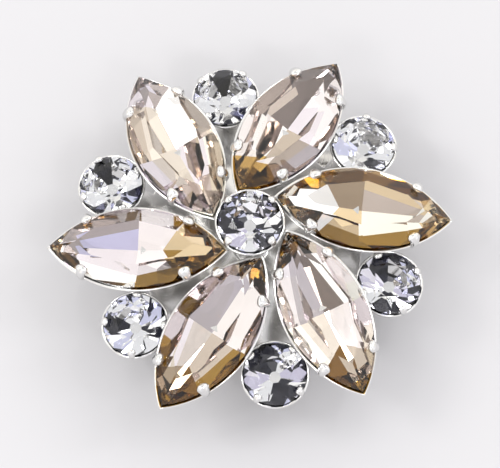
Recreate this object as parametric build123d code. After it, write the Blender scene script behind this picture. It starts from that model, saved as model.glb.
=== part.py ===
from build123d import *
import math
import os

# A shoe clip: a flower of foiled glass stones in claw cups, soldered to a lobed plate with a clasp behind.
# Millimetres. The clip lies on its clasp with its face up: +Z comes out of the flower, +X lies along the
# first petal and +Y points to the clasp's hinge. The origin is the middle of the underside.

# Petal stones: boat-shaped, with a table above and a culet under the middle
petal_count = 6
petal_length = 15.0
petal_width = 7.0
petal_girdle = 0.30
petal_table_width = 3.6
petal_crown_slope = 40.0
petal_depth = 1.50
petal_keel_angle = 20.0

# Round stones, one cut in two sizes
outer_stone_diameter = 5.3
centre_stone_diameter = 5.4
round_girdle = 0.16
round_table_share = 0.55
round_crown_slope = 35.0
round_star_slope = 22.0
round_back_slope = 40.0
round_main_count = 8

# How the flower is laid out
first_heading = -4.4
petal_twist = 2.5
petal_droop = 9.5
petal_gap = 0.88
centre_gap = 0.40
outer_droop = 8.0
outer_gap = 0.12

# Heights of the cups' undersides over the plate, and of the centre stone over the petals' inner ends
petal_lift = 2.30
outer_lift = 0.10
centre_lift = 0.55

# Cups
seat_clearance = 0.07
cup_rim = 0.20
cup_floor = 0.38
petal_cup_taper = 1.3
round_cup_taper = 1.4
post_radius = 1.3
petal_post_back = 1.8

# Claws
petal_claw_share = 0.60
petal_claw_head = 0.55
round_claw_count = 4
round_claw_head = 0.38
claw_wire_share = 0.58
claw_bite = 0.22
claw_stand_off = 0.04
petal_claw_rise = 0.45
round_claw_rise = 0.30
claw_root = 1.10

# Plate behind the cups
plate_thickness = 0.8
plate_edge = 0.25
lobe_radius = 1.9
solder_line = 0.05

# Clasp: one strip bent double, a leaf under the plate and a toothed jaw below it
clasp_sheet = 0.7
clasp_gap = 2.2
clasp_length = 19.0
leaf_width = 15.0
jaw_width = 12.0
clasp_corner = 1.8
lip_gap = 0.6
tooth_count = 6
tooth_depth = 0.6
pin_end = 0.35
knuckle_groove = 0.25

# Small facets of a petal stone: each row is a family of two or four, turned side_angle from straight out of
# the long side and leaning slope from level
PETAL_CROWN_CUTS = [
    {"side_angle": 13.0, "slope": petal_crown_slope},
    {"side_angle": 38.0, "slope": petal_crown_slope},
    {"side_angle": 0.0, "slope": petal_crown_slope + 14.0},
    {"side_angle": 26.0, "slope": petal_crown_slope + 14.0},
]
PETAL_BACK_CUTS = [
    {"side_angle": 0.0, "slope": 46.0},
    {"side_angle": 26.0, "slope": 46.0},
    {"side_angle": 46.0, "slope": 40.0},
]

# Girdle facets of a round stone, two for each main facet, steeper than the mains beside them
ROUND_BREAK_STEEPER = {"crown": 8.0, "back": 4.0}

# Worked out from the sizes above
side_radius = (petal_length**2 + petal_width**2) / (4 * petal_width)
side_centre = side_radius - petal_width / 2
petal_crown = (petal_width - petal_table_width) / 2 * math.tan(math.radians(petal_crown_slope))

clasp_height = 2 * clasp_sheet + clasp_gap
plate_bottom = clasp_height + solder_line
plate_top = plate_bottom + plate_thickness


def unit(angle):
    """A level unit vector at an angle in degrees."""
    return Vector(math.cos(math.radians(angle)), math.sin(math.radians(angle)), 0)


def leaning(angle, lean):
    """Straight up, leaned by some degrees towards an angle."""
    return unit(angle) * math.sin(math.radians(lean)) + Vector(0, 0, math.cos(math.radians(lean)))


def grind(body, azimuth, slope, reach, height, margin):
    """Grinds one facet. It passes through a point reach out and at height, plus margin.

    A slope over 90 faces down, as on the back of a stone.
    """
    normal = leaning(azimuth, slope)
    point = unit(azimuth) * reach + Vector(0, 0, height) + normal * margin
    return split(body, bisect_by=Plane(origin=point, z_dir=normal), keep=Keep.BOTTOM)


def boat_outline(margin):
    """The plan of a petal stone grown by margin: two arcs that meet in points on X."""
    side = side_radius + margin - side_centre
    tip = math.sqrt((side_radius + margin) ** 2 - side_centre**2)
    upper = ThreePointArc((-tip, 0), (0, side), (tip, 0))
    lower = ThreePointArc((tip, 0), (0, -side), (-tip, 0))
    return make_face([upper, lower])


def side_reach(side_angle):
    """How far from the middle a long side's tangent passes."""
    return side_radius - side_centre * math.cos(math.radians(side_angle))


def both_sides(side_angle):
    """The azimuths of a family of facets, mirrored end to end and side to side."""
    if side_angle == 0:
        return [90, -90]
    return [90 - side_angle, 90 + side_angle, -90 - side_angle, -90 + side_angle]


def petal_stone(margin=0.0):
    """A petal stone centred on its girdle, with its length on X. margin grows every face outwards."""
    top = petal_girdle / 2 + petal_crown + margin
    bottom = -petal_girdle / 2 - petal_depth - margin
    body = Pos(0, 0, bottom) * extrude(boat_outline(margin), top - bottom)
    for cut in PETAL_CROWN_CUTS:
        for azimuth in both_sides(cut["side_angle"]):
            body = grind(
                body, azimuth, cut["slope"], side_reach(cut["side_angle"]), petal_girdle / 2, margin
            )
    keel_reach = side_reach(petal_keel_angle)
    keel_slope = math.degrees(math.atan2(petal_depth, keel_reach))
    for azimuth in both_sides(petal_keel_angle):
        body = grind(body, azimuth, 180 - keel_slope, keel_reach, -petal_girdle / 2, margin)
    for cut in PETAL_BACK_CUTS:
        for azimuth in both_sides(cut["side_angle"]):
            body = grind(
                body, azimuth, 180 - cut["slope"], side_reach(cut["side_angle"]), -petal_girdle / 2, margin
            )
    return body


def round_crown(diameter):
    """The height of a round stone's table over its girdle."""
    return diameter / 2 * (1 - round_table_share) * math.tan(math.radians(round_crown_slope))


def round_depth(diameter):
    """The depth of a round stone's culet under its girdle."""
    return diameter / 2 * math.tan(math.radians(round_back_slope))


def round_stone(diameter, margin=0.0):
    """A brilliant-cut round stone centred on its girdle. margin grows every face outwards."""
    radius = diameter / 2
    girdle_top = round_girdle / 2
    table_height = girdle_top + round_crown(diameter)
    top = table_height + margin
    bottom = -girdle_top - round_depth(diameter) - margin
    body = Pos(0, 0, (top + bottom) / 2) * Cylinder(radius + margin, top - bottom)
    step = 360 / round_main_count
    star_reach = radius * round_table_share * math.cos(math.radians(step / 2))
    break_slope = round_crown_slope + ROUND_BREAK_STEEPER["crown"]
    back_break_slope = round_back_slope + ROUND_BREAK_STEEPER["back"]
    for k in range(round_main_count):
        main = step * k
        body = grind(body, main, round_crown_slope, radius, girdle_top, margin)
        body = grind(body, main, 180 - round_back_slope, radius, -girdle_top, margin)
        body = grind(body, main + step / 2, round_star_slope, star_reach, table_height, margin)
        for beside in (main - step / 4, main + step / 4):
            body = grind(body, beside, break_slope, radius, girdle_top, margin)
            body = grind(body, beside, 180 - back_break_slope, radius, -girdle_top, margin)
    return body


def cup_depth(stone_depth):
    """From a cup's rim down to its underside."""
    return stone_depth + seat_clearance + cup_floor


def petal_cup():
    """A boat-shaped cup with sloping walls and a flat underside, its rim at the bottom of the girdle."""
    rim = Pos(0, 0, -petal_girdle / 2) * boat_outline(seat_clearance + cup_rim)
    floor = Pos(0, 0, -petal_girdle / 2 - cup_depth(petal_depth)) * boat_outline(-petal_cup_taper)
    return loft([floor, rim], ruled=True)


def round_cup(diameter):
    """A round cup with sloping walls and a flat underside."""
    depth = cup_depth(round_depth(diameter))
    rim_radius = diameter / 2 + seat_clearance + cup_rim
    return Pos(0, 0, -round_girdle / 2 - depth / 2) * Cone(diameter / 2 - round_cup_taper, rim_radius, depth)


def claw(head_radius, girdle, rise):
    """A claw for the girdle's edge at the origin, the stone being on the -X side.

    A wire leaves the cup's wall, rises past the edge, bends over the crown and ends in a round head.
    """
    wire = head_radius * claw_wire_share
    path = FilletPolyline(
        (-wire - seat_clearance, 0, -girdle / 2 - claw_root),
        (seat_clearance + claw_stand_off, 0, 0),
        (-claw_bite, 0, girdle / 2 + rise),
        radius=wire,
    )
    stem = sweep(Plane(origin=path @ 0, z_dir=path % 0) * Circle(wire), path)
    return stem.fuse(Pos(*(path @ 1)) * Sphere(head_radius))


def petal_claws():
    """Two claws on each long side of a petal stone."""
    one = claw(petal_claw_head, petal_girdle, petal_claw_rise)
    place_angle = math.degrees(math.asin(petal_claw_share * petal_length / 2 / side_radius))
    claws = []
    for azimuth in both_sides(place_angle):
        edge = unit(azimuth) * side_radius - Vector(0, side_centre * math.copysign(1, azimuth), 0)
        claws.append(Pos(*edge) * Rot(0, 0, azimuth) * one)
    return claws


def round_claws(diameter):
    """Claws evenly round a round stone, the first pair either side of X."""
    one = claw(round_claw_head, round_girdle, round_claw_rise)
    step = 360 / round_claw_count
    return [Rot(0, 0, step * (k + 0.5)) * Pos(diameter / 2, 0, 0) * one for k in range(round_claw_count)]


def petal_reach():
    """How far along its own axis a petal's middle stands from the flower's middle.

    Neighbours clear each other by petal_gap, and the inner points clear the centre stone by centre_gap.
    """
    half_step = math.pi / petal_count
    apart = (2 * side_radius + petal_gap) / (2 * math.sin(half_step))
    past_neighbour = math.sqrt(apart**2 - petal_twist**2) - side_centre / math.tan(half_step)
    inner_point = centre_stone_diameter / 2 + centre_gap
    inner_along = math.sqrt(max(inner_point**2 - petal_twist**2, 0))
    past_centre = inner_along + petal_length / 2 * math.cos(math.radians(petal_droop))
    return max(past_neighbour, past_centre)


def heading(k):
    """The direction of petal k's axis, in degrees."""
    return first_heading + 360 / petal_count * k


def petal_middle(k):
    """The plan place of petal k's middle. Its axis passes petal_twist beside the flower's middle."""
    return unit(heading(k)) * petal_reach() + unit(heading(k) + 90) * petal_twist


def outer_middle(k):
    """The plan place of outer stone k, where it clears petals k and k + 1 alike."""
    first = petal_middle(k) - unit(heading(k) + 90) * side_centre
    second = petal_middle(k + 1) + unit(heading(k + 1) + 90) * side_centre
    across = second - first
    outward = Vector(across.Y, -across.X, 0).normalized()
    away = side_radius + outer_stone_diameter / 2 + outer_gap
    return (first + second) / 2 + outward * math.sqrt(away**2 - (across.length / 2) ** 2)


def petal_height():
    """The height of the petals' girdles at their middles."""
    return plate_top + petal_lift + cup_depth(petal_depth) + petal_girdle / 2


def petal_frame(k):
    """The frame of petal k: origin in the middle of its girdle, X to its outer point, Z out of its table."""
    along = leaning(heading(k), 90 + petal_droop)
    place = petal_middle(k) + Vector(0, 0, petal_height())
    return Plane(origin=place, x_dir=along, z_dir=leaning(heading(k), petal_droop))


def outer_frame(k):
    """The frame of outer stone k: origin in the middle of its girdle, Z out of its table."""
    middle = outer_middle(k)
    angle = math.degrees(math.atan2(middle.Y, middle.X))
    depth = cup_depth(round_depth(outer_stone_diameter))
    place = middle + Vector(0, 0, plate_top + outer_lift + depth + round_girdle / 2)
    return Plane(origin=place, x_dir=leaning(angle, 90 + outer_droop), z_dir=leaning(angle, outer_droop))


def centre_frame():
    """The frame of the centre stone, over the petals' inner points."""
    inner_points = petal_height() + petal_length / 2 * math.sin(math.radians(petal_droop))
    return Plane(origin=(0, 0, inner_points + centre_lift))


def petal_post_place(k):
    """The plan place of the post under petal k, inwards from the petal's middle."""
    return petal_middle(k) - unit(heading(k)) * petal_post_back


def plate():
    """The sheet that the posts stand on: a disc with a tapered arm and a lobe under each outer stone."""
    plan = Circle(petal_post_place(0).length + post_radius + plate_edge)
    for k in range(petal_count):
        middle = outer_middle(k)
        angle = math.degrees(math.atan2(middle.Y, middle.X))
        half_arm = math.degrees(math.asin(lobe_radius / middle.length))
        tangent = math.sqrt(middle.length**2 - lobe_radius**2)
        corners = [unit(angle + side * half_arm) * tangent for side in (-1, 1)]
        plan += make_face(Polyline((0, 0), *corners, close=True))
        plan += Pos(middle.X, middle.Y) * Circle(lobe_radius)
    return Pos(0, 0, plate_bottom) * extrude(plan, plate_thickness)


def post(place, top):
    """A round post from inside the plate up to a height inside a cup."""
    foot = plate_bottom + plate_thickness / 2
    return Pos(place.X, place.Y, (foot + top) / 2) * Cylinder(post_radius, top - foot)


def claw_setting():
    """Plate, posts, cups and claws, soldered into one piece, with a seat cut for each stone."""
    pieces = []
    seats = []

    boat = [petal_cup()] + petal_claws()
    boat_seat = petal_stone(seat_clearance)
    for k in range(petal_count):
        frame = petal_frame(k)
        pieces.append(post(petal_post_place(k), petal_height()))
        pieces += [frame.location * piece for piece in boat]
        seats.append(frame.location * boat_seat)

    outer_frames = [outer_frame(k) for k in range(petal_count)]
    for diameter, frames in ((outer_stone_diameter, outer_frames), (centre_stone_diameter, [centre_frame()])):
        bowl = [round_cup(diameter)] + round_claws(diameter)
        bowl_seat = round_stone(diameter, seat_clearance)
        for frame in frames:
            pieces.append(post(frame.origin, frame.origin.Z - round_depth(diameter) / 2))
            pieces += [frame.location * piece for piece in bowl]
            seats.append(frame.location * bowl_seat)

    return plate().fuse(*pieces).cut(*seats)


def front_corners(body, low, high):
    """The upright edges at the front of the clasp between two heights."""
    return body.edges().filter_by(Axis.Z).filter_by_position(Axis.Z, low, high).group_by(Axis.Y)[0]


def shoe_clasp():
    """The clasp, closed: a strip bent double round its pin, with a toothed lip at the front."""
    bend = clasp_height / 2
    front = -clasp_length / 2
    bend_at = clasp_length / 2 - bend
    leaf_under = clasp_height - clasp_sheet
    lip_back = front + clasp_sheet
    lip_top = leaf_under - lip_gap

    jaw_and_lip = Polyline(
        (bend_at, clasp_sheet),
        (lip_back, clasp_sheet),
        (lip_back, lip_top),
        (front, lip_top),
        (front, 0),
        (bend_at, 0),
    )
    outer_bend = ThreePointArc((bend_at, 0), (bend_at + bend, bend), (bend_at, clasp_height))
    leaf = Polyline((bend_at, clasp_height), (front, clasp_height), (front, leaf_under), (bend_at, leaf_under))
    inner_bend = ThreePointArc(
        (bend_at, leaf_under), (bend_at + bend - clasp_sheet, bend), (bend_at, clasp_sheet)
    )
    side_view = make_face([jaw_and_lip, outer_bend, leaf, inner_bend])
    body = extrude(Plane.YZ * side_view, leaf_width / 2, both=True)

    # the jaw is narrower than the leaf over it
    side_cut = leaf_width - jaw_width
    off_side = Box(
        side_cut, clasp_length, 2 * leaf_under - lip_gap, align=(Align.CENTER, Align.MAX, Align.CENTER)
    )
    for side in (1, -1):
        body -= Pos(side * (jaw_width + side_cut) / 2, bend_at - bend, 0) * off_side
    body = fillet(front_corners(body, leaf_under, clasp_height), clasp_corner)
    body = fillet(front_corners(body, 0, lip_top), clasp_sheet / 2)

    # the pin in the bend, and the slits that part its knuckles
    pin_axis = Location((0, bend_at, bend), (0, 90, 0))
    body += pin_axis * Cylinder(bend - clasp_sheet / 2, leaf_width + 2 * pin_end)
    slit = Cylinder(bend + clasp_sheet, knuckle_groove) - Cylinder(bend - clasp_sheet / 2, knuckle_groove)
    for side in (1, -1):
        body -= pin_axis * Pos(0, 0, side * jaw_width / 4) * slit

    # notches between the teeth
    notch_side = tooth_depth * math.sqrt(2)
    notch = Rot(0, 45, 0) * Box(notch_side, 3 * clasp_sheet, notch_side)
    for k in range(tooth_count - 1):
        across = jaw_width / tooth_count * (k + 1 - tooth_count / 2)
        body -= Pos(across, front, lip_top) * notch
    return body


def main():
    os.makedirs("parts", exist_ok=True)
    petal = petal_stone()
    outer = round_stone(outer_stone_diameter)
    made = {
        "claw_setting": claw_setting(),
        "centre_stone": centre_frame().location * round_stone(centre_stone_diameter),
        "shoe_clasp": shoe_clasp(),
    }
    for k in range(petal_count):
        made[f"petal_stone_{k + 1}"] = petal_frame(k).location * petal
        made[f"outer_stone_{k + 1}"] = outer_frame(k).location * outer
    for name, shape in made.items():
        export_step(shape, f"parts/{name}.step")


main()
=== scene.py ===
import math

import bmesh
import bpy
from mathutils import Matrix, Vector


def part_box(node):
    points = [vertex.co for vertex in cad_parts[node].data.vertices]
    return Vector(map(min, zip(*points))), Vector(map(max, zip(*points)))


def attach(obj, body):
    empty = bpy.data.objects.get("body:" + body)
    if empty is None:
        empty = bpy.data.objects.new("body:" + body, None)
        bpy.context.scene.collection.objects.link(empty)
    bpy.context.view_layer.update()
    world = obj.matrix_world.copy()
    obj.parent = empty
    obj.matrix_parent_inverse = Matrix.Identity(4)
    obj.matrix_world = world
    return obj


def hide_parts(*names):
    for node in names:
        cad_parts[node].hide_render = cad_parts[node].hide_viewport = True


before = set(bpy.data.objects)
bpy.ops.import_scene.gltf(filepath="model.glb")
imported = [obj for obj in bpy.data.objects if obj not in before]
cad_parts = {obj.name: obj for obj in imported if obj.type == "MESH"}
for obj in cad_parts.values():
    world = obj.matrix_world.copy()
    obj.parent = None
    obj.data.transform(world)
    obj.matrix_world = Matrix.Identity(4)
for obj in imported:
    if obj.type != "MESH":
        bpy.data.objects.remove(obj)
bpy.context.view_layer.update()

# Pieces are made and set in place in millimetres, and finished in metres
MM = 0.001

# How near two points count as one: on a cut, on a mirror's plane, and anywhere else
cut_tolerance = 1e-5
mirror_tolerance = 1e-3
join_tolerance = 1e-4

# Petal stones
petal_count = 6
petal_length = 15.0
petal_width = 7.0
petal_girdle = 0.30
petal_table_width = 3.6
petal_crown_slope = 40.0
petal_break_steeper = 14.0
petal_depth = 1.50
petal_keel_angle = 20.0
petal_crown_cuts = [
    {"side_angle": 13.0, "slope": petal_crown_slope},
    {"side_angle": 38.0, "slope": petal_crown_slope},
    {"side_angle": 0.0, "slope": petal_crown_slope + petal_break_steeper},
    {"side_angle": 26.0, "slope": petal_crown_slope + petal_break_steeper},
]
petal_back_cuts = [
    {"side_angle": 0.0, "slope": 46.0},
    {"side_angle": 26.0, "slope": 46.0},
    {"side_angle": 46.0, "slope": 40.0},
]
petal_girdle_steps = 15
petal_block_margin = 1.2

# Tones behind a facet, as linear red, green and blue. The pale warm and silver tones are the foil's own
# colour; the rest are painted reflections and painted shade that stand in for the light, dark and colour a
# facet shows
foil_and_painted_reflection_tones = {
    "white": (0.98, 0.98, 0.98),
    "cream": (0.97, 0.95, 0.88),
    "rose": (0.92, 0.87, 0.89),
    "mauve": (0.80, 0.75, 0.81),
    "honey": (0.72, 0.57, 0.36),
    "beige": (0.75, 0.68, 0.61),
    "lilac": (0.61, 0.59, 0.78),
    "slate": (0.54, 0.50, 0.53),
    "taupe": (0.56, 0.48, 0.41),
    "smoke": (0.42, 0.37, 0.36),
    "bronze": (0.40, 0.31, 0.22),
    "umber": (0.20, 0.165, 0.15),
    "amber": (0.62, 0.41, 0.12),
    "gold": (0.31, 0.18, 0.035),
    "brown": (0.18, 0.09, 0.018),
    "silver": (0.98, 0.98, 0.98),
    "ice": (0.76, 0.77, 0.96),
    "pearl": (0.84, 0.82, 0.90),
    "shadow": (0.02, 0.02, 0.03),
}

# The tones round a round stone's back, by quarters of the step from one main facet to the next: silver foil,
# with painted reflections on the ice and pearl facets and painted shade on the shadow facets
round_foil_and_painted_reflections = {
    "bright": [
        "silver", "shadow", "silver", "silver", "silver", "ice", "silver", "shadow",
        "silver", "silver", "silver", "shadow", "ice", "silver", "silver", "silver",
        "silver", "shadow", "silver", "ice", "silver", "silver", "silver", "shadow",
        "shadow", "silver", "silver", "silver", "silver", "shadow", "silver", "ice",
    ],
    "deep": [
        "silver", "shadow", "silver", "shadow", "shadow", "ice", "silver", "shadow",
        "silver", "silver", "silver", "shadow", "pearl", "shadow", "silver", "silver",
        "silver", "shadow", "silver", "ice", "silver", "shadow", "silver", "shadow",
        "shadow", "silver", "silver", "shadow", "pearl", "shadow", "silver", "ice",
    ],
}

# The tones of each petal's back: painted reflections and painted shade over the foil's own warm colour.
# Each quarter has a kite along the keel, an edge beside it and an end. The ends start at two places along
# the keel, inner and outer, and the stone's two points have their own tones.
petal_foil_and_painted_reflections = [
    {
        "inner_left": {"kite": "bronze", "edge": "bronze", "end": "white"},
        "inner_right": {"kite": "honey", "edge": "gold", "end": "white"},
        "outer_left": {"kite": "taupe", "edge": "honey", "end": "cream"},
        "outer_right": {"kite": "cream", "edge": "gold", "end": "honey"},
        "ends": (-2.0, 4.6), "points": ("white", "honey"),
    },
    {
        "inner_left": {"kite": "white", "edge": "white", "end": "amber"},
        "inner_right": {"kite": "taupe", "edge": "slate", "end": "gold"},
        "outer_left": {"kite": "umber", "edge": "taupe", "end": "umber"},
        "outer_right": {"kite": "mauve", "edge": "rose", "end": "rose"},
        "ends": (-3.4, 2.4), "points": ("amber", "slate"),
    },
    {
        "inner_left": {"kite": "beige", "edge": "mauve", "end": "rose"},
        "inner_right": {"kite": "mauve", "edge": "cream", "end": "smoke"},
        "outer_left": {"kite": "beige", "edge": "taupe", "end": "mauve"},
        "outer_right": {"kite": "white", "edge": "white", "end": "smoke"},
        "ends": (-4.4, 4.2), "points": ("cream", "slate"),
    },
    {
        "inner_left": {"kite": "rose", "edge": "gold", "end": "gold"},
        "inner_right": {"kite": "rose", "edge": "rose", "end": "honey"},
        "outer_left": {"kite": "mauve", "edge": "white", "end": "mauve"},
        "outer_right": {"kite": "lilac", "edge": "smoke", "end": "smoke"},
        "ends": (-2.2, 4.6), "points": ("honey", "white"),
    },
    {
        "inner_left": {"kite": "rose", "edge": "rose", "end": "white"},
        "inner_right": {"kite": "slate", "edge": "slate", "end": "white"},
        "outer_left": {"kite": "taupe", "edge": "gold", "end": "brown"},
        "outer_right": {"kite": "beige", "edge": "rose", "end": "bronze"},
        "ends": (-4.8, 3.4), "points": ("white", "gold"),
    },
    {
        "inner_left": {"kite": "umber", "edge": "white", "end": "white"},
        "inner_right": {"kite": "slate", "edge": "rose", "end": "mauve"},
        "outer_left": {"kite": "rose", "edge": "rose", "end": "taupe"},
        "outer_right": {"kite": "beige", "edge": "cream", "end": "brown"},
        "ends": (-5.2, 3.0), "points": ("white", "gold"),
    },
]

# Where the painted tones of a petal's back meet: the kite's half width at the stone's middle, the lean of
# the ends' borders, and where the points start
kite_half_width = 1.8
foil_end_lean = 35.0
foil_point = 6.2

# The painted gold reflection is painted a darker brown on facets that are this many degrees steeper than
# those along the keel
brown_steeper = 4.0

# A facet is foiled where its normal rises by less than this
foiled_below = 0.05

# Round stones
outer_stone_diameter = 5.3
centre_stone_diameter = 5.4
round_girdle = 0.16
round_table_share = 0.55
round_crown_slope = 35.0
round_star_slope = 22.0
round_back_slope = 40.0
round_main_count = 8
crown_break_steeper = 8.0
back_break_steeper = 4.0
round_girdle_sides = 64

# Each round stone's tone pattern, and by how many quarter steps its tones are turned; the turn sets where
# its painted shade and painted reflections fall
outer_foil_and_painted_reflections = [("bright", 0), ("bright", 8), ("bright", 4), ("bright", 4), ("deep", -4), ("deep", 20)]
centre_foil_and_painted_reflection = ("deep", -8)

# The flower's layout
first_heading = -4.4
petal_twist = 2.5
petal_droop = 9.5
petal_gap = 0.88
centre_gap = 0.40
outer_droop = 8.0
outer_gap = 0.12
petal_lift = 2.30
outer_lift = 0.10
centre_lift = 0.55

# Cups
seat_clearance = 0.07
cup_rim = 0.20
cup_floor = 0.38
cup_sheet = 0.22
cup_steps = 48
petal_cup_taper = 1.3
round_cup_taper = 1.4

# A petal's cup is spun past the keel, and past the stone's points by some degrees, before it is cut
cup_past_keel = 0.3
cup_past_point = 12.0

# The rounding of the rim, as shares of its width, and of the floor's corners, as shares of the sheet
rim_round = [{"out": 0.2, "up": 0.25}, {"out": 0.5, "up": 0.35}, {"out": 0.8, "up": 0.25}]
floor_round = [{"out": 0.3, "up": 0.4}, {"out": -0.3, "up": 0.0}]
floor_inset = 0.25

# Claws
petal_claw = {"head": 0.55, "rise": 0.52, "root": 1.1}
round_claw = {"head": 0.38, "rise": 0.34, "root": 1.0}
claw_root_inside = 0.3
petal_claw_share = 0.60
round_claw_count = 4
claw_sides = 14
claw_steps = 16
claw_crowding = 1.5
claw_tangent_step = 0.01

# Posts
post_radius = 1.3
post_sides = 32
post_flare = 0.35
post_flare_steps = 5
petal_post_back = 1.8
petal_post_sunk = 1.4
round_post_share = 0.85

# Plate
plate_thickness = 0.8
plate_edge = 0.25
plate_sides = 720
plate_worn_edge = 0.12
lobe_radius = 1.9
clasp_clearance = 0.05
plate_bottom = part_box("shoe_clasp")[1].z / MM + clasp_clearance
plate_top = plate_bottom + plate_thickness

# Clasp
clasp_sheet = 0.7
clasp_gap = 2.2
clasp_length = 19.0
leaf_width = 15.0
jaw_width = 12.0
clasp_corner = 1.8
clasp_corner_steps = 8
lip_gap = 0.6
tooth_count = 6
tooth_depth = 0.6
jaw_bend = 1.0
jaw_bend_steps = 8
knuckle_groove = 0.25
knuckle_steps = 20
pin_end = 0.35
pin_sides = 40

# The dome at each end of the pin: its height as a share of that end, and its points as shares of the dome
pin_dome_share = 0.6
pin_dome = [{"in": 2.0, "back": 0.0}, {"in": 0.6, "back": 0.4}, {"in": 0.0, "back": 1.0}]

# Edges that turn by more than this, in radians, are softened
plate_rim_angle = 1.2
worn_edge_angle = 0.9
worn_edge = 0.09
worn_edge_steps = 2

# Metal is shaded smooth across edges that turn by less than this, in degrees
metal_smooth_angle = 35

# Worked out from the petal's sizes: its long sides' arcs, its crown's height and its ends' lean
side_radius = (petal_length**2 + petal_width**2) / (4 * petal_width)
side_centre = side_radius - petal_width / 2
petal_crown = (petal_width - petal_table_width) / 2 * math.tan(math.radians(petal_crown_slope))
end_lean = math.tan(math.radians(foil_end_lean))


def level(angle):
    """A level unit vector at an angle in degrees."""
    return Vector((math.cos(math.radians(angle)), math.sin(math.radians(angle)), 0))


def leaning(angle, lean):
    """Straight up, leaned by some degrees towards an angle."""
    return level(angle) * math.sin(math.radians(lean)) + Vector((0, 0, math.cos(math.radians(lean))))


def frame_matrix(origin, x_axis, z_axis):
    """A frame with its Y worked out, as a matrix in millimetres."""
    matrix = Matrix((x_axis, z_axis.cross(x_axis), z_axis)).transposed().to_4x4()
    matrix.translation = origin
    return matrix


# Where the stones sit

def heading(k):
    """The direction of petal k's axis, in degrees."""
    return first_heading + 360 / petal_count * k


def petal_reach():
    """How far along its own axis a petal's middle stands from the flower's middle."""
    half_step = math.pi / petal_count
    apart = (2 * side_radius + petal_gap) / (2 * math.sin(half_step))
    past_neighbour = math.sqrt(apart**2 - petal_twist**2) - side_centre / math.tan(half_step)
    inner_point = centre_stone_diameter / 2 + centre_gap
    inner_along = math.sqrt(max(inner_point**2 - petal_twist**2, 0))
    past_centre = inner_along + petal_length / 2 * math.cos(math.radians(petal_droop))
    return max(past_neighbour, past_centre)


def petal_middle(k):
    """The plan place of petal k's middle."""
    return level(heading(k)) * petal_reach() + level(heading(k) + 90) * petal_twist


def petal_foot(k):
    """The plan place of the post under petal k."""
    return petal_middle(k) - level(heading(k)) * petal_post_back


def outer_middle(k):
    """The plan place of outer stone k, equally clear of petals k and k + 1."""
    first = petal_middle(k) - level(heading(k) + 90) * side_centre
    second = petal_middle(k + 1) + level(heading(k + 1) + 90) * side_centre
    across = second - first
    outward = Vector((across.y, -across.x, 0)).normalized()
    away = side_radius + outer_stone_diameter / 2 + outer_gap
    return (first + second) / 2 + outward * math.sqrt(away**2 - (across.length / 2) ** 2)


def round_depth(diameter):
    """The depth of a round stone's culet under its girdle."""
    return diameter / 2 * math.tan(math.radians(round_back_slope))


def cup_depth(stone_depth):
    """From a cup's rim down to its underside."""
    return stone_depth + seat_clearance + cup_floor


petal_height = plate_top + petal_lift + cup_depth(petal_depth) + petal_girdle / 2
outer_height = plate_top + outer_lift + cup_depth(round_depth(outer_stone_diameter)) + round_girdle / 2
centre_height = petal_height + petal_length / 2 * math.sin(math.radians(petal_droop)) + centre_lift


def petal_place(k):
    """Petal k's frame: X to its outer point, Z out of its table."""
    origin = petal_middle(k) + Vector((0, 0, petal_height))
    return frame_matrix(origin, leaning(heading(k), 90 + petal_droop), leaning(heading(k), petal_droop))


def outer_place(k):
    """Outer stone k's frame: Z out of its table."""
    middle = outer_middle(k)
    angle = math.degrees(math.atan2(middle.y, middle.x))
    origin = middle + Vector((0, 0, outer_height))
    return frame_matrix(origin, leaning(angle, 90 + outer_droop), leaning(angle, outer_droop))


centre_place = Matrix.Translation((0, 0, centre_height))


# Making and placing pieces

def everything(bm):
    """All of a bmesh's vertices, edges and faces."""
    return bm.verts[:] + bm.edges[:] + bm.faces[:]


def only(kind, geom):
    """The elements of one kind out of an operator's result."""
    return [item for item in geom if isinstance(item, kind)]


def cut(bm, place, normal, clear_inner=False, clear_outer=False):
    """Cuts a bmesh along a plane, clears a side if asked, and gives what lies on the cut."""
    return bmesh.ops.bisect_plane(
        bm,
        geom=everything(bm),
        dist=cut_tolerance,
        plane_co=place,
        plane_no=normal,
        clear_inner=clear_inner,
        clear_outer=clear_outer,
    )["geom_cut"]


def thicken(bm, faces, thickness):
    """Gives level faces a thickness, upwards."""
    grown = bmesh.ops.extrude_face_region(bm, geom=faces)["geom"]
    bmesh.ops.translate(bm, vec=(0, 0, thickness), verts=only(bmesh.types.BMVert, grown))


def round_edges(bm, edges, radius, steps, clamp_overlap=False):
    """Rounds edges in a few steps."""
    bmesh.ops.bevel(
        bm,
        geom=edges,
        offset=radius,
        segments=steps,
        profile=0.5,
        affect="EDGES",
        material=-1,
        clamp_overlap=clamp_overlap,
    )


def add_copy(target, source, matrix):
    """Adds a copy of one bmesh to another, set in place by a matrix."""
    carrier = bpy.data.meshes.new("carrier")
    source.to_mesh(carrier)
    carrier.transform(matrix)
    target.from_mesh(carrier)
    bpy.data.meshes.remove(carrier)


def finish_piece(bm, name, node, finish, smooth_angle=None):
    """Turns a bmesh in millimetres into a piece in metres, hides the node it takes the place of and lets it
    ride on the clip.
    """
    bmesh.ops.recalc_face_normals(bm, faces=bm.faces)
    bmesh.ops.transform(bm, matrix=Matrix.Scale(MM, 4), verts=bm.verts)
    mesh = bpy.data.meshes.new(name)
    bm.to_mesh(mesh)
    bm.free()
    for material in finish["materials"]:
        mesh.materials.append(material)
    if smooth_angle is not None:
        mesh.shade_smooth()
        mesh.set_sharp_from_angle(angle=math.radians(smooth_angle))
    piece = bpy.data.objects.new(name, mesh)
    bpy.context.scene.collection.objects.link(piece)
    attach(piece, "root")
    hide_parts(node)


def finish_stone(bm, place, name, node, finish):
    """Sets a stone in its place and finishes it, with its facets flat."""
    bmesh.ops.transform(bm, matrix=place, verts=bm.verts)
    finish_piece(bm, name, node, finish)


# Stones, ground facet by facet out of a block

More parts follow.
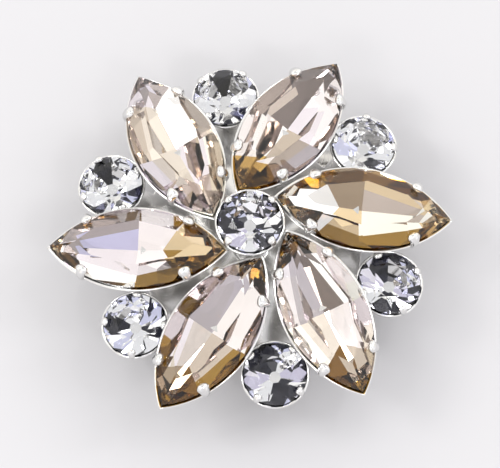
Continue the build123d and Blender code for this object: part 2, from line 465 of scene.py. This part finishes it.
def grind(bm, azimuth, slope, reach, height):
    """Grinds one facet, which passes through a point reach out and at height."""
    place = level(azimuth) * reach + Vector((0, 0, height))
    outline = only(bmesh.types.BMEdge, cut(bm, place, leaning(azimuth, slope), clear_outer=True))
    if len(outline) > 2:
        bmesh.ops.contextual_create(bm, geom=outline)


def side_reach(side_angle):
    """How far from the middle a long side's tangent passes."""
    return side_radius - side_centre * math.cos(math.radians(side_angle))


def both_sides(side_angle):
    """The azimuths of a family of facets, mirrored end to end and side to side."""
    if side_angle == 0:
        return [90, -90]
    return [90 - side_angle, 90 + side_angle, -90 - side_angle, -90 + side_angle]


# A stone's material slots
GLASS = 0
FOIL = 1


def colour_facets(bm, facet_tone):
    """Foils the facets that look down and leaves the rest clear. facet_tone names a facet's tone: the foil's
    own colour on some facets, painted reflections and painted shade on others.
    """
    bmesh.ops.recalc_face_normals(bm, faces=bm.faces)
    tones = bm.faces.layers.float_vector.new("facet_foil_and_painted_tone")
    for face in bm.faces:
        face.material_index = FOIL if face.normal.z < foiled_below else GLASS
        face[tones] = foil_and_painted_reflection_tones[facet_tone(face.normal, face.calc_center_median())]


def keel_slope():
    """The slope in degrees of the facets that meet on a petal's keel."""
    return math.degrees(math.atan2(petal_depth, side_reach(petal_keel_angle)))


def ground_petal():
    """A petal stone with its length on X and its outer point on +X."""
    bm = bmesh.new()
    top = petal_girdle / 2 + petal_crown
    bottom = -petal_girdle / 2 - petal_depth
    size = (petal_length * petal_block_margin, petal_width * petal_block_margin, top - bottom, 1)
    block = Matrix.Translation((0, 0, (top + bottom) / 2)) @ Matrix.Diagonal(size)
    bmesh.ops.create_cube(bm, size=1, matrix=block)
    tip_angle = math.degrees(math.asin(petal_length / 2 / side_radius))
    for step in range(petal_girdle_steps + 1):
        side_angle = tip_angle * step / petal_girdle_steps
        for azimuth in both_sides(side_angle):
            grind(bm, azimuth, 90, side_reach(side_angle), 0)
    for row in petal_crown_cuts:
        for azimuth in both_sides(row["side_angle"]):
            grind(bm, azimuth, row["slope"], side_reach(row["side_angle"]), petal_girdle / 2)
    keel_cut = {"side_angle": petal_keel_angle, "slope": keel_slope()}
    for row in [keel_cut, *petal_back_cuts]:
        for azimuth in both_sides(row["side_angle"]):
            grind(bm, azimuth, 180 - row["slope"], side_reach(row["side_angle"]), -petal_girdle / 2)
    return bm


def cut_foil_borders(bm, ends):
    """Cuts a petal's facets where the painted tones of its back change: at its points, its kite and its
    ends.
    """
    half_length = petal_length / 2
    for end, sign in zip(ends, (-1, 1)):
        cut(bm, (sign * foil_point, 0, 0), (1, 0, 0))
        for side in (-1, 1):
            across_kite = Vector((sign * kite_half_width, side * half_length, 0))
            cut(bm, (sign * half_length, 0, 0), across_kite.normalized())
            cut(bm, (end, 0, 0), Vector((sign, -side * end_lean, 0)).normalized())


def petal_facet_tone(foils, normal, centre):
    """The tone behind one facet of a petal, from its normal and its middle; most tones are painted
    reflections and painted shade.
    """
    outer = centre.x > 0
    along = abs(centre.x)
    across = abs(centre.y)
    if along > foil_point:
        return foils["points"][outer]
    tones = foils[("outer" if outer else "inner") + ("_left" if centre.y > 0 else "_right")]
    if along > abs(foils["ends"][outer]) + across * end_lean:
        tone = tones["end"]
    elif along / (petal_length / 2) + across / kite_half_width > 1:
        tone = tones["edge"]
    else:
        tone = tones["kite"]
    # Gold on the steeper facets becomes a darker painted brown
    steep = normal.z > -math.cos(math.radians(keel_slope() + brown_steeper))
    return "brown" if tone == "gold" and steep else tone


def petal_stone(foils):
    """A petal stone whose back has the tones that foils names: painted reflections and painted shade over
    the foil's own colour.
    """
    bm = ground_petal()
    cut_foil_borders(bm, foils["ends"])
    colour_facets(bm, lambda normal, centre: petal_facet_tone(foils, normal, centre))
    return bm


def round_stone(diameter, foil_name, foil_turn):
    """A round stone whose foil carries painted reflections and painted shade. foil_turn turns the tones of
    its back by that many quarter steps.
    """
    bm = bmesh.new()
    radius = diameter / 2
    girdle_top = round_girdle / 2
    top = girdle_top + radius * (1 - round_table_share) * math.tan(math.radians(round_crown_slope))
    bottom = -girdle_top - round_depth(diameter)
    bmesh.ops.create_cone(
        bm,
        cap_ends=True,
        segments=round_girdle_sides,
        radius1=radius,
        radius2=radius,
        depth=top - bottom,
        matrix=Matrix.Translation((0, 0, (top + bottom) / 2)),
    )
    step = 360 / round_main_count
    star_reach = radius * round_table_share * math.cos(math.radians(step / 2))
    for k in range(round_main_count):
        main = step * k
        grind(bm, main, round_crown_slope, radius, girdle_top)
        grind(bm, main, 180 - round_back_slope, radius, -girdle_top)
        grind(bm, main + step / 2, round_star_slope, star_reach, top)
        for beside in (main - step / 4, main + step / 4):
            grind(bm, beside, round_crown_slope + crown_break_steeper, radius, girdle_top)
            grind(bm, beside, 180 - round_back_slope - back_break_steeper, radius, -girdle_top)
    tones = round_foil_and_painted_reflections[foil_name]

    def facet_tone(normal, centre):
        quarter = round(math.degrees(math.atan2(centre.y, centre.x)) / (step / 4))
        return tones[(quarter - foil_turn) % len(tones)]

    colour_facets(bm, facet_tone)
    return bm


# Cups, claws, posts and plate

def section(bm, points, centre=0.0):
    """A line of edges through points given as distance from an upright axis and height."""
    verts = [bm.verts.new((0, reach - centre, height)) for reach, height in points]
    edges = [bm.edges.new(pair) for pair in zip(verts, verts[1:])]
    return verts + edges


def cup_section(rim_reach, rim_height, floor_reach, floor_height, inner_reach):
    """A cup's wall and floor: up the inside, over the rounded rim and down the outside."""
    inner = rim_reach - cup_rim
    inside = [
        (inner_reach, floor_height + cup_sheet),
        (floor_reach - cup_sheet * floor_inset, floor_height + cup_sheet),
        (inner, rim_height),
    ]
    rim = [(inner + cup_rim * row["out"], rim_height + cup_rim * row["up"]) for row in rim_round]
    corner = [
        (floor_reach + cup_sheet * row["out"], floor_height + cup_sheet * row["up"]) for row in floor_round
    ]
    return inside + rim + [(rim_reach, rim_height)] + corner + [(inner_reach, floor_height)]


def boat_cup():
    """A petal's cup: its section is spun round one long side, cut on the keel and mirrored."""
    bm = bmesh.new()
    points = cup_section(
        side_radius + seat_clearance + cup_rim,
        -petal_girdle / 2,
        side_radius - petal_cup_taper,
        -petal_girdle / 2 - cup_depth(petal_depth),
        side_centre - cup_past_keel,
    )
    profile = section(bm, points, side_centre)
    centre = (0, -side_centre, 0)
    half_turn = math.asin(petal_length / 2 / side_radius) + math.radians(cup_past_point)
    bmesh.ops.rotate(bm, cent=centre, matrix=Matrix.Rotation(-half_turn, 3, "Z"), verts=bm.verts)
    bmesh.ops.spin(
        bm,
        geom=profile,
        cent=centre,
        axis=(0, 0, 1),
        angle=2 * half_turn,
        steps=cup_steps,
        use_merge=False,
    )
    cut(bm, (0, 0, 0), (0, 1, 0), clear_inner=True)
    bmesh.ops.mirror(
        bm, geom=everything(bm), matrix=Matrix.Identity(4), merge_dist=mirror_tolerance, axis="Y"
    )
    bmesh.ops.recalc_face_normals(bm, faces=bm.faces)
    return bm


def spun(points, steps):
    """A closed round shape from a section that starts and ends on the axis."""
    bm = bmesh.new()
    bmesh.ops.spin(
        bm,
        geom=section(bm, points),
        cent=(0, 0, 0),
        axis=(0, 0, 1),
        angle=2 * math.pi,
        steps=steps,
        use_merge=True,
    )
    bmesh.ops.remove_doubles(bm, verts=bm.verts, dist=join_tolerance)
    bmesh.ops.recalc_face_normals(bm, faces=bm.faces)
    return bm


def bowl_cup(diameter):
    """A round stone's cup."""
    points = cup_section(
        diameter / 2 + seat_clearance + cup_rim,
        -round_girdle / 2,
        diameter / 2 - round_cup_taper,
        -round_girdle / 2 - cup_depth(round_depth(diameter)),
        0.0,
    )
    return spun(points, cup_steps)


def bezier(points, t):
    """A point on the curve that a list of control points pulls."""
    while len(points) > 1:
        points = [a.lerp(b, t) for a, b in zip(points, points[1:])]
    return points[0]


# A claw's half width and half thickness along its length, as shares of its head
claw_swell = [
    {"along": 0.00, "width": 0.62, "thickness": 0.50},
    {"along": 0.45, "width": 0.66, "thickness": 0.52},
    {"along": 0.68, "width": 0.78, "thickness": 0.54},
    {"along": 0.86, "width": 1.00, "thickness": 0.58},
    {"along": 0.94, "width": 0.92, "thickness": 0.54},
    {"along": 0.98, "width": 0.62, "thickness": 0.38},
    {"along": 1.00, "width": 0.20, "thickness": 0.12},
]


def swell(along, name):
    """Reads the claw's table between its rows."""
    for low, high in zip(claw_swell, claw_swell[1:]):
        if along <= high["along"]:
            share = (along - low["along"]) / (high["along"] - low["along"])
            share = share * share * (3 - 2 * share)
            return low[name] + (high[name] - low[name]) * share
    return claw_swell[-1][name]


def claw(girdle, head, rise, root):
    """A claw for a girdle's edge at the origin, the stone being on the -X side."""
    # the points that pull its curve, from the root inside the cup's wall to the head over the stone
    path = [
        Vector((-0.75 * head - claw_root_inside, 0, -girdle / 2 - root)),
        Vector((0.45 * head, 0, -girdle / 2 - 0.35 * root)),
        Vector((0.95 * head, 0, girdle / 2 + 0.55 * rise)),
        Vector((0.20 * head, 0, girdle / 2 + 1.25 * rise)),
        Vector((-0.95 * head, 0, girdle / 2 + 1.75 * rise)),
    ]
    bm = bmesh.new()
    before = Matrix.Identity(4)
    ring = bmesh.ops.create_circle(bm, segments=claw_sides, radius=1.0)["verts"]
    edges = bm.edges[:]
    for step in range(claw_steps + 1):
        # the steps crowd towards the rounded end
        t = 1 - (1 - step / claw_steps) ** claw_crowding
        ahead = bezier(path, min(t + claw_tangent_step, 1))
        behind = bezier(path, max(t - claw_tangent_step, 0))
        here = frame_matrix(bezier(path, t), Vector((0, 1, 0)), (ahead - behind).normalized())
        size = (head * swell(t, "width"), head * swell(t, "thickness"), 1, 1)
        placed = here @ Matrix.Diagonal(size)
        if step:
            grown = bmesh.ops.extrude_edge_only(bm, edges=edges)["geom"]
            ring = only(bmesh.types.BMVert, grown)
            edges = only(bmesh.types.BMEdge, grown)
        bmesh.ops.transform(bm, matrix=placed @ before.inverted(), verts=ring)
        before = placed
    bmesh.ops.holes_fill(bm, edges=bm.edges, sides=0)
    bmesh.ops.recalc_face_normals(bm, faces=bm.faces)
    return bm


def petal_claw_places():
    """Two places on each long side of a petal, with X straight out."""
    angle = math.degrees(math.asin(petal_claw_share * petal_length / 2 / side_radius))
    for azimuth in both_sides(angle):
        edge = level(azimuth) * side_radius - Vector((0, math.copysign(side_centre, azimuth), 0))
        yield Matrix.Translation(edge) @ Matrix.Rotation(math.radians(azimuth), 4, "Z")


def round_claw_places(diameter):
    """Places evenly round a round stone, the first pair either side of X."""
    for k in range(round_claw_count):
        turn = Matrix.Rotation(2 * math.pi * (k + 0.5) / round_claw_count, 4, "Z")
        yield turn @ Matrix.Translation((diameter / 2, 0, 0))


def claw_cup(cup, one_claw, places):
    """A cup with its claws."""
    for place in places:
        add_copy(cup, one_claw, place)
    one_claw.free()
    return cup


def post(bottom, top):
    """A round post with a flare of solder at its foot."""
    points = [(0, bottom), (post_radius + post_flare, bottom)]
    for step in range(1, post_flare_steps + 1):
        turn = math.radians(90 * step / post_flare_steps)
        out = post_radius + post_flare * (1 - math.sin(turn))
        points.append((out, bottom + post_flare * (1 - math.cos(turn))))
    points += [(post_radius, top), (0, top)]
    return spun(points, post_sides)


def plate_reach(angle):
    """How far out the plate's edge lies at an angle: a disc, or an arm and its lobe where it has one."""
    reach = petal_foot(0).length + post_radius + plate_edge
    for k in range(petal_count):
        middle = outer_middle(k)
        off = math.radians(angle) - math.atan2(middle.y, middle.x)
        off = (off + math.pi) % (2 * math.pi) - math.pi
        miss = middle.length * math.sin(off)
        if abs(off) < math.pi / 4 and abs(miss) < lobe_radius:
            reach = max(reach, middle.length * math.cos(off) + math.sqrt(lobe_radius**2 - miss**2))
    return reach


def upright(edge):
    """Tells whether an edge's ends differ in height."""
    return abs(edge.verts[0].co.z - edge.verts[1].co.z) > join_tolerance


def back_plate():
    """The lobed plate, with softened edges."""
    bm = bmesh.new()
    disc = bmesh.ops.create_circle(bm, cap_ends=True, segments=plate_sides, radius=1.0)["verts"]
    for vert in disc:
        angle = math.degrees(math.atan2(vert.co.y, vert.co.x))
        vert.co = level(angle) * plate_reach(angle) + Vector((0, 0, plate_bottom))
    thicken(bm, bm.faces[:], plate_thickness)
    bmesh.ops.recalc_face_normals(bm, faces=bm.faces)
    rims = [edge for edge in bm.edges if edge.calc_face_angle(0) > plate_rim_angle and not upright(edge)]
    round_edges(bm, rims, plate_worn_edge, worn_edge_steps)
    return bm


# Clasp

def soften(bm):
    """Rounds every sharp edge a little."""
    bmesh.ops.recalc_face_normals(bm, faces=bm.faces)
    sharp = [edge for edge in bm.edges if edge.calc_face_angle(0) > worn_edge_angle]
    round_edges(bm, sharp, worn_edge, worn_edge_steps, clamp_overlap=True)


def sheet_blank(x_size, y_size, z_size, middle):
    """A rectangular piece of sheet."""
    bm = bmesh.new()
    place = Matrix.Translation(middle) @ Matrix.Diagonal((x_size, y_size, z_size, 1))
    bmesh.ops.create_cube(bm, size=1, matrix=place)
    return bm


def round_front(bm, front):
    """Rounds the upright corners at the front of a piece of sheet."""
    corners = [
        edge for edge in bm.edges
        if all(abs(vert.co.y - front) < join_tolerance for vert in edge.verts) and upright(edge)
    ]
    round_edges(bm, corners, clasp_corner, clasp_corner_steps)


def toothed_jaw(front, back, top):
    """The jaw: a flat strip whose front is notched into teeth and bent up square."""
    bm = bmesh.new()
    axis = front + jaw_bend
    middle_radius = jaw_bend - clasp_sheet / 2
    arc = middle_radius * math.pi / 2
    tip = axis - arc - (top - jaw_bend)
    half = jaw_width / 2
    pitch = jaw_width / tooth_count
    outline = [(half, tip), (half, back), (-half, back), (-half, tip)]
    for k in range(1, tooth_count):
        across = pitch * k - half
        outline += [(across - tooth_depth, tip), (across, tip + tooth_depth), (across + tooth_depth, tip)]
    face = bm.faces.new([bm.verts.new((across, along, 0)) for across, along in outline])
    thicken(bm, [face], clasp_sheet)
    soften(bm)
    for step in range(jaw_bend_steps + 1):
        cut(bm, (0, axis - arc * step / jaw_bend_steps, 0), (0, 1, 0))
    for vert in bm.verts:
        past = axis - vert.co.y
        if past > 0:
            turn = min(past / middle_radius, math.pi / 2)
            radius = jaw_bend - vert.co.z
            vert.co.y = axis - radius * math.sin(turn)
            vert.co.z = jaw_bend - radius * math.cos(turn) + max(past - arc, 0)
    return bm


def knuckle(left, right, axis_y, axis_z):
    """One knuckle of the bend: the strip's section, turned half round the pin."""
    bm = bmesh.new()
    inner = axis_z - clasp_sheet
    corners = [(left, -axis_z), (right, -axis_z), (right, -inner), (left, -inner)]
    section_face = bm.faces.new([bm.verts.new((across, 0, height)) for across, height in corners])
    bmesh.ops.spin(
        bm,
        geom=[section_face],
        cent=(0, 0, 0),
        axis=(1, 0, 0),
        angle=math.pi,
        steps=knuckle_steps,
        use_merge=False,
    )
    bmesh.ops.translate(bm, vec=(0, axis_y, axis_z), verts=bm.verts)
    return bm


def pin(axis_y, axis_z):
    """The pin through the bend, its ends domed a little."""
    radius = axis_z - clasp_sheet / 2
    half = leaf_width / 2 + pin_end
    dome = pin_end * pin_dome_share
    end = [(radius - dome * row["in"], -half + dome * row["back"]) for row in pin_dome]
    points = [(0, -half), *end]
    points += [(reach, -height) for reach, height in reversed(points)]
    bm = spun(points, pin_sides)
    bmesh.ops.rotate(bm, cent=(0, 0, 0), matrix=Matrix.Rotation(math.pi / 2, 3, "Y"), verts=bm.verts)
    bmesh.ops.translate(bm, vec=(0, axis_y, axis_z), verts=bm.verts)
    return bm


def shoe_clasp():
    """The clasp, closed: a strip bent double round its pin, a leaf above and a toothed jaw below."""
    height = 2 * clasp_sheet + clasp_gap
    bend = height / 2
    front = -clasp_length / 2
    bend_at = clasp_length / 2 - bend
    length = bend_at - front
    leaf_at = Vector((0, front + length / 2, height - clasp_sheet / 2))
    leaf = sheet_blank(leaf_width, length, clasp_sheet, leaf_at)
    round_front(leaf, front)
    jaw = toothed_jaw(front, bend_at, height - clasp_sheet - lip_gap)
    slit = jaw_width / 4
    ends = [-leaf_width / 2, -slit, slit, leaf_width / 2]
    knuckles = [
        knuckle(
            left + (knuckle_groove / 2 if left > ends[0] else 0),
            right - (knuckle_groove / 2 if right < ends[-1] else 0),
            bend_at,
            bend,
        )
        for left, right in zip(ends, ends[1:])
    ]
    whole = pin(bend_at, bend)
    for part in [leaf, *knuckles]:
        soften(part)
    for part in [leaf, jaw, *knuckles]:
        add_copy(whole, part, Matrix.Identity(4))
        part.free()
    return whole


# Materials

def set_inputs(tree, node, inputs):
    """Sets a node's inputs. A socket is linked, and anything else is the input's own value."""
    for name, given in inputs.items():
        if isinstance(given, bpy.types.NodeSocket):
            tree.links.new(given, node.inputs[name])
        else:
            node.inputs[name].default_value = given


def add_node(tree, kind, inputs, **settings):
    """Adds a node with its settings and inputs."""
    node = tree.nodes.new(kind)
    for name, value in settings.items():
        setattr(node, name, value)
    set_inputs(tree, node, inputs)
    return node


def new_material(name):
    """A material, its nodes and its shader."""
    material = bpy.data.materials.new(name)
    material.use_nodes = True
    tree = material.node_tree
    return material, tree, tree.nodes["Principled BSDF"]


def on_piece(tree):
    """A place on the piece, for textures that keep to it."""
    return add_node(tree, "ShaderNodeTexCoord", {}).outputs["Object"]


def crystal(name, tint, depth_density):
    """Clear lead glass, a little hazy in spots. Its colour deepens with the light's way through it."""
    material, tree, shader = new_material(name)
    polish = add_node(tree, "ShaderNodeTexNoise", {"Vector": on_piece(tree), "Scale": 900, "Detail": 3})
    haze = add_node(
        tree,
        "ShaderNodeMapRange",
        {"Value": polish.outputs["Fac"], "From Min": 0.45, "From Max": 0.8, "To Min": 0.0, "To Max": 0.05},
    )
    glass = {"Base Color": (1, 1, 1, 1), "Transmission Weight": 1.0, "IOR": 1.50}
    set_inputs(tree, shader, {**glass, "Roughness": haze.outputs["Result"]})
    depth = add_node(tree, "ShaderNodeVolumeAbsorption", {"Color": (*tint, 1), "Density": depth_density})
    set_inputs(tree, tree.nodes["Material Output"], {"Volume": depth.outputs["Volume"]})
    return material


def foil(name):
    """The mirror behind a stone. Each facet has its tone, the foil's own colour with painted reflections and
    painted shade, under faint clouds in the coating.
    """
    material, tree, shader = new_material(name)
    clouds = add_node(tree, "ShaderNodeTexNoise", {"Vector": on_piece(tree), "Scale": 260})
    thinned = add_node(
        tree, "ShaderNodeMapRange", {"Value": clouds.outputs["Fac"], "To Min": 1.02, "To Max": 0.90}
    )
    facet = add_node(tree, "ShaderNodeAttribute", {}, attribute_name="facet_foil_and_painted_tone")
    tone = add_node(
        tree,
        "ShaderNodeVectorMath",
        {0: facet.outputs["Color"], "Scale": thinned.outputs["Result"]},
        operation="SCALE",
    )
    set_inputs(tree, shader, {"Metallic": 1.0, "Roughness": 0.03, "Base Color": tone.outputs["Vector"]})
    return material


def silver(name):
    """Bright silver plate over castings: a cloudy tone, duller patches and a fine grain."""
    material, tree, shader = new_material(name)
    place = on_piece(tree)
    cloud = add_node(tree, "ShaderNodeTexNoise", {"Vector": place, "Scale": 350, "Detail": 6})
    tone = add_node(
        tree,
        "ShaderNodeMix",
        {"Factor": cloud.outputs["Fac"], "A": (0.86, 0.855, 0.84, 1), "B": (0.66, 0.655, 0.65, 1)},
        data_type="RGBA",
    )
    dull = add_node(
        tree, "ShaderNodeMapRange", {"Value": cloud.outputs["Fac"], "To Min": 0.08, "To Max": 0.26}
    )
    grain = add_node(tree, "ShaderNodeTexNoise", {"Vector": place, "Scale": 2400})
    bump = add_node(
        tree, "ShaderNodeBump", {"Height": grain.outputs["Fac"], "Strength": 0.12, "Distance": 0.00002}
    )
    plating = {"Base Color": tone.outputs["Result"], "Roughness": dull.outputs["Result"]}
    set_inputs(tree, shader, {"Metallic": 1.0, **plating, "Normal": bump.outputs["Normal"]})
    return material


def brushed_nickel(name):
    """Plated spring strip: fine grinding lines along it, rubbed brighter in patches."""
    material, tree, shader = new_material(name)
    place = on_piece(tree)
    drawn = add_node(tree, "ShaderNodeMapping", {"Vector": place, "Scale": (9000, 180, 180)})
    lines = add_node(
        tree, "ShaderNodeTexNoise", {"Vector": drawn.outputs["Vector"], "Scale": 1.0, "Detail": 4}
    )
    patches = add_node(tree, "ShaderNodeTexNoise", {"Vector": place, "Scale": 300, "Detail": 5})
    tone = add_node(
        tree,
        "ShaderNodeMix",
        {"Factor": patches.outputs["Fac"], "A": (0.70, 0.68, 0.65, 1), "B": (0.50, 0.485, 0.46, 1)},
        data_type="RGBA",
    )
    gloss = add_node(
        tree,
        "ShaderNodeMapRange",
        {"Value": lines.outputs["Fac"], "From Min": 0.35, "From Max": 0.65, "To Min": 0.16, "To Max": 0.34},
    )
    bump = add_node(
        tree, "ShaderNodeBump", {"Height": lines.outputs["Fac"], "Strength": 0.35, "Distance": 0.00002}
    )
    plating = {"Base Color": tone.outputs["Result"], "Roughness": gloss.outputs["Result"]}
    set_inputs(tree, shader, {"Metallic": 1.0, **plating, "Normal": bump.outputs["Normal"]})
    return material


def pale_floor(name):
    """A plain matt floor."""
    material, tree, shader = new_material(name)
    set_inputs(tree, shader, {"Base Color": (0.58, 0.575, 0.59, 1), "Roughness": 0.6})
    return material


# The record's material slots and what each is made of
champagne_finish = {
    "slot": "champagne_glass",
    "materials": [
        crystal("champagne_crystal", tint=(1.0, 0.90, 0.66), depth_density=18),
        foil("champagne_foil_with_painted_reflections"),
    ],
}
clear_finish = {
    "slot": "clear_glass",
    "materials": [
        crystal("clear_crystal", tint=(0.97, 0.98, 1.0), depth_density=20),
        foil("silver_foil_with_painted_reflections"),
    ],
}
silver_finish = {"slot": "silver_plate", "materials": [silver("bright_silver_plate")]}
clasp_finish = {"slot": "clasp_steel", "materials": [brushed_nickel("nickel_plated_spring_steel")]}

# Stones
for k in range(petal_count):
    petal = petal_stone(petal_foil_and_painted_reflections[k])
    finish_stone(petal, petal_place(k), f"champagne_petal_{k + 1}", f"petal_stone_{k + 1}", champagne_finish)
    chaton = round_stone(outer_stone_diameter, *outer_foil_and_painted_reflections[k])
    finish_stone(chaton, outer_place(k), f"clear_chaton_{k + 1}", f"outer_stone_{k + 1}", clear_finish)
chaton = round_stone(centre_stone_diameter, *centre_foil_and_painted_reflection)
finish_stone(chaton, centre_place, "centre_chaton", "centre_stone", clear_finish)

# Petals' cups and their posts
posts = bmesh.new()
petal_cups = bmesh.new()
boat = claw_cup(boat_cup(), claw(petal_girdle, **petal_claw), petal_claw_places())
for k in range(petal_count):
    add_copy(petal_cups, boat, petal_place(k))
    column = post(plate_top, petal_height - petal_post_sunk)
    add_copy(posts, column, Matrix.Translation(petal_foot(k)))
    column.free()
boat.free()

# Round stones' cups and their posts
round_cups = bmesh.new()
for diameter, places in (
    (outer_stone_diameter, [outer_place(k) for k in range(petal_count)]),
    (centre_stone_diameter, [centre_place]),
):
    bowl = claw_cup(bowl_cup(diameter), claw(round_girdle, **round_claw), round_claw_places(diameter))
    for place in places:
        add_copy(round_cups, bowl, place)
        foot = place.translation.copy()
        column = post(plate_top, foot.z - round_depth(diameter) * round_post_share)
        foot.z = 0
        add_copy(posts, column, Matrix.Translation(foot))
        column.free()
    bowl.free()

# Plate, cups and clasp as pieces
plate = back_plate()
add_copy(plate, posts, Matrix.Identity(4))
posts.free()
for name, metal in (("back_plate", plate), ("petal_claw_cups", petal_cups), ("round_claw_cups", round_cups)):
    finish_piece(metal, name, "claw_setting", silver_finish, metal_smooth_angle)
finish_piece(shoe_clasp(), "spring_clasp", "shoe_clasp", clasp_finish, metal_smooth_angle)

# Floor
floor_size = 3.0
floor_drop = 0.00002
bpy.ops.mesh.primitive_plane_add(size=floor_size, location=(0, 0, -floor_drop))
floor = bpy.context.object
floor.name = "studio_floor"
floor.data.materials.append(pale_floor("pale_studio_floor"))

# Lights
softbox_distance = 0.9
softboxes = [
    {
        "name": "key_softbox", "azimuth": 175, "elevation": 50,
        "width": 0.24, "height": 0.24, "watts": 1.5, "colour": (1.0, 0.99, 0.97),
    },
    {
        "name": "side_softbox", "azimuth": 12, "elevation": 47,
        "width": 0.12, "height": 0.34, "watts": 1.0, "colour": (0.97, 0.98, 1.0),
    },
    {
        "name": "front_strip", "azimuth": -120, "elevation": 50,
        "width": 0.30, "height": 0.07, "watts": 0.7, "colour": (1.0, 0.98, 0.96),
    },
    {
        "name": "small_front_light", "azimuth": -62, "elevation": 56,
        "width": 0.10, "height": 0.10, "watts": 0.5, "colour": (1, 1, 1),
    },
    {
        "name": "small_side_light", "azimuth": -160, "elevation": 62,
        "width": 0.09, "height": 0.09, "watts": 0.45, "colour": (0.96, 0.97, 1.0),
    },
    {
        "name": "small_back_light", "azimuth": 25, "elevation": 68,
        "width": 0.07, "height": 0.07, "watts": 0.35, "colour": (1, 1, 1),
    },
]


def softbox(name, azimuth, elevation, width, height, watts, colour):
    """A rectangular light that faces the clip."""
    data = bpy.data.lights.new(name, "AREA")
    data.shape = "RECTANGLE"
    data.size = width
    data.size_y = height
    data.energy = watts
    data.color = colour
    light = bpy.data.objects.new(name, data)
    rise = math.radians(elevation)
    direction = level(azimuth) * math.cos(rise) + Vector((0, 0, math.sin(rise)))
    light.location = direction * softbox_distance
    light.rotation_euler = (-direction).to_track_quat("-Z", "Y").to_euler()
    bpy.context.scene.collection.objects.link(light)


for row in softboxes:
    softbox(**row)

# The room round the clip: its tone by azimuth in degrees, under a pale ceiling
room_tones = [
    (-178, (1.70, 1.68, 1.66)),
    (-145, (0.95, 0.93, 0.92)),
    (-130, (1.40, 1.37, 1.33)),
    (-98, (1.05, 1.04, 1.10)),
    (-53, (0.95, 0.93, 0.92)),
    (-30, (1.40, 1.39, 1.42)),
    (-10, (1.08, 1.07, 1.12)),
    (6, (1.10, 1.08, 1.05)),
    (24, (1.05, 1.03, 1.00)),
    (37, (1.50, 1.48, 1.45)),
    (54, (1.40, 1.38, 1.36)),
    (77, (1.25, 1.23, 1.20)),
    (98, (1.25, 1.22, 1.16)),
    (130, (1.30, 1.28, 1.27)),
    (162, (1.15, 1.13, 1.08)),
]

# The ceiling starts and is full at these elevations in degrees
ceiling_start = 56
ceiling_full = 64
ceiling_tone = (0.88, 0.88, 0.90)


def studio_room():
    """Lights the clip from all round with the room's tones."""
    world = bpy.data.worlds.new("studio")
    world.use_nodes = True
    tree = world.node_tree
    direction = add_node(tree, "ShaderNodeTexCoord", {}).outputs["Generated"]
    azimuth = add_node(tree, "ShaderNodeTexGradient", {"Vector": direction}, gradient_type="RADIAL")
    tones = add_node(tree, "ShaderNodeValToRGB", {"Fac": azimuth.outputs["Fac"]})
    ramp = tones.color_ramp
    while len(ramp.elements) > 1:
        ramp.elements.remove(ramp.elements[-1])
    stops = sorted(((angle / 360 + 0.5) % 1, tone) for angle, tone in room_tones)
    for index, (place, tone) in enumerate(stops):
        stop = ramp.elements[0] if index == 0 else ramp.elements.new(place)
        stop.position = place
        stop.color = (*tone, 1)
    height = add_node(tree, "ShaderNodeSeparateXYZ", {"Vector": direction})
    ceiling = add_node(
        tree,
        "ShaderNodeMapRange",
        {
            "Value": height.outputs["Z"],
            "From Min": math.sin(math.radians(ceiling_start)),
            "From Max": math.sin(math.radians(ceiling_full)),
        },
        interpolation_type="SMOOTHSTEP",
    )
    room = add_node(
        tree,
        "ShaderNodeMix",
        {"Factor": ceiling.outputs["Result"], "A": tones.outputs["Color"], "B": (*ceiling_tone, 1)},
        data_type="RGBA",
    )
    set_inputs(tree, tree.nodes["Background"], {"Color": room.outputs["Result"], "Strength": 1.0})
    bpy.context.scene.world = world


studio_room()

# Camera
camera_elevation = 71.0
camera_distance = 0.40
camera_target = Vector((0, 0, 0.0075))
camera_sensor = 36
camera_view_width = 0.0425
camera_data = bpy.data.cameras.new("camera")
camera_data.sensor_width = camera_sensor
camera_data.lens = camera_sensor * camera_distance / camera_view_width
camera = bpy.data.objects.new("camera", camera_data)
camera_rise = math.radians(camera_elevation)
away = Vector((0, -math.cos(camera_rise), math.sin(camera_rise)))
camera.location = camera_target + away * camera_distance
camera.rotation_euler = (-away).to_track_quat("-Z", "Y").to_euler()
bpy.context.scene.collection.objects.link(camera)
bpy.context.scene.camera = camera
bpy.context.scene.view_settings.view_transform = "Standard"

# Light is mirrored several times inside a stone before it leaves it
bpy.context.scene.cycles.glossy_bounces = 12
